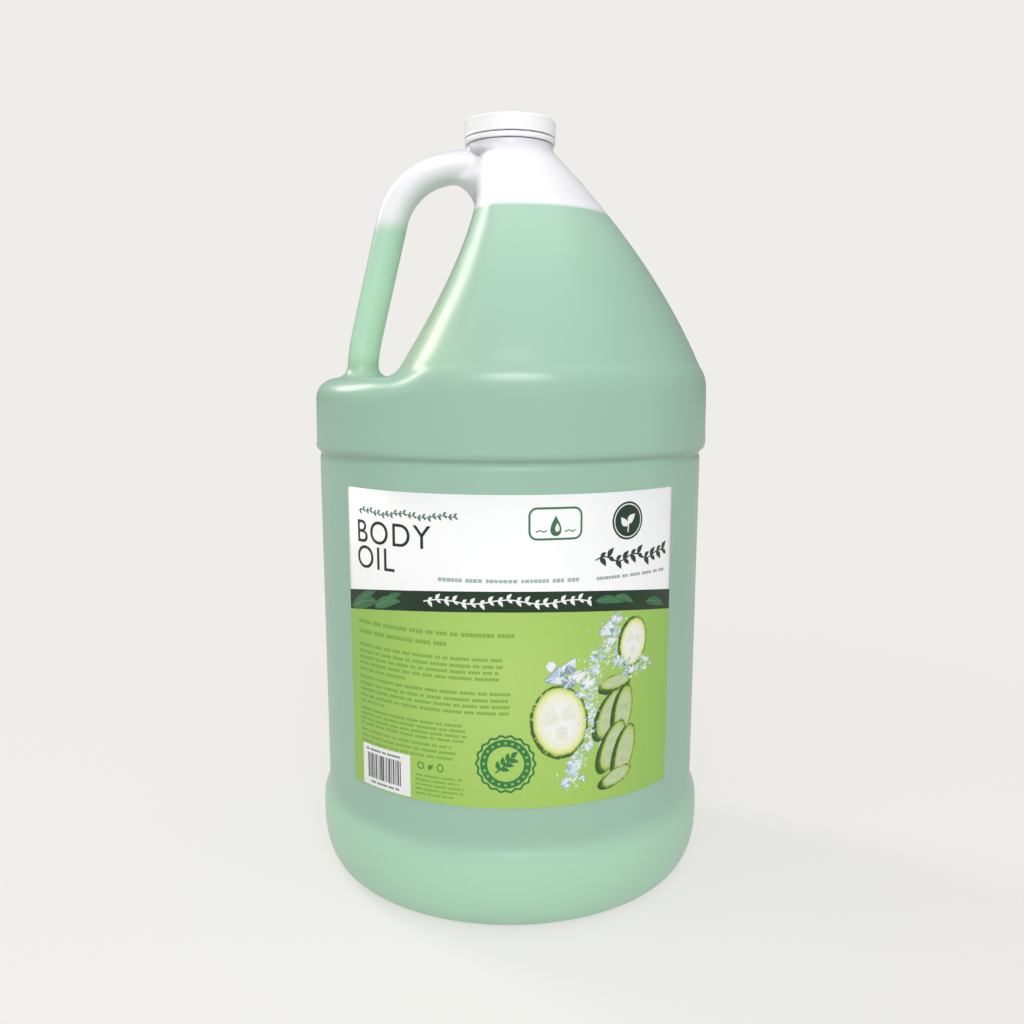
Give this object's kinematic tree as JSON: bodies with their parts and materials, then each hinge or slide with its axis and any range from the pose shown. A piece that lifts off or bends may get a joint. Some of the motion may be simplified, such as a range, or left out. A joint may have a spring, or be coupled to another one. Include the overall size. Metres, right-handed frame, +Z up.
{
  "type": "handled oil jug",
  "caption": "Large round blow-moulded plastic jug of massage oil with a hollow side handle, a front label and a low screw cap with a tamper band.",
  "frame": {"origin": "centre of the base, on the surface the jug stands on", "axes": "+Z up along the jug's axis, -Y towards the label, -X towards the handle"},
  "size_m": [0.155, 0.155, 0.2918],
  "materials": {
    "natural_plastic": "satin blow-moulded polyethylene, milky where empty and tinted green by the oil behind it",
    "oil": "clear green liquid",
    "label_film": "smooth printed film",
    "white_plastic": "moulded white, satin",
    "liner_foam": "matt closed-cell foam"
  },
  "bodies": {
    "bottle": {"jug": "natural_plastic", "oil_fill": "oil", "front_label": "label_film", "tamper_band": "white_plastic"},
    "liner": {"cap_liner": "liner_foam"},
    "cap": {"screw_cap": "white_plastic"}
  },
  "joints": [
    {"name": "cap_rise", "type": "slide", "parent": "bottle", "child": "liner", "axis": [0, 0, 1], "range_m": [0, 0.006]},
    {"name": "cap_turn", "type": "hinge", "parent": "liner", "child": "cap", "pos_m": [0, 0, 0.2886], "axis": [0, 0, 1], "range_deg": [0, 360]}
  ],
  "couplings": [
    {"joint": "cap_rise", "follows": "cap_turn", "m_per_rad": 0.00095493}
  ]
}
